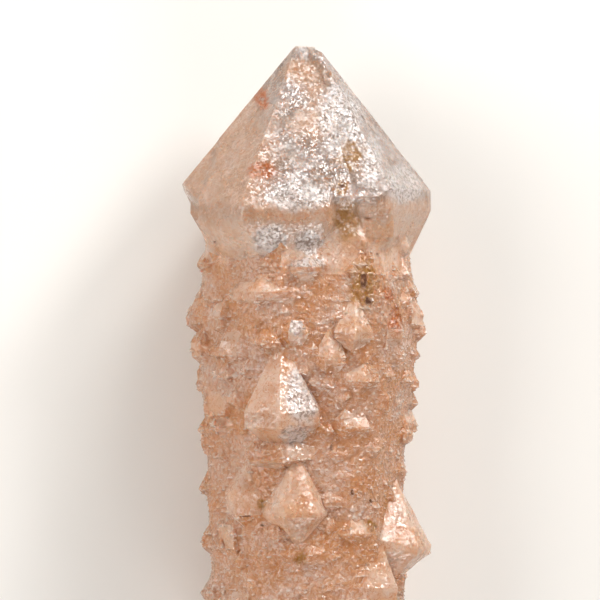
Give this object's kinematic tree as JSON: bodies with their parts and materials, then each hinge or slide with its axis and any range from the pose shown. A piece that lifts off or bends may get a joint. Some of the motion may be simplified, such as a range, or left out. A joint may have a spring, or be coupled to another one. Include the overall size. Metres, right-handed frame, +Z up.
{
  "type": "double-terminated quartz crystal",
  "caption": "Peach quartz column crusted with small parallel crystals, a smooth faceted point at each end, lying on its back.",
  "frame": {"origin": "middle of the bounding box's base, on the surface that the crystal lies on", "axes": "+Y along the crystal's length towards the larger upper point, +Z up, away from the surface that it lies on"},
  "size_m": [0.018, 0.0572, 0.017],
  "materials": {
    "peach_quartz": "translucent milky quartz with a peach iron tint, glassy facets that are frosted by fine growth marks"
  },
  "bodies": {
    "root": {"quartz_crystal": "peach_quartz"}
  },
  "joints": []
}
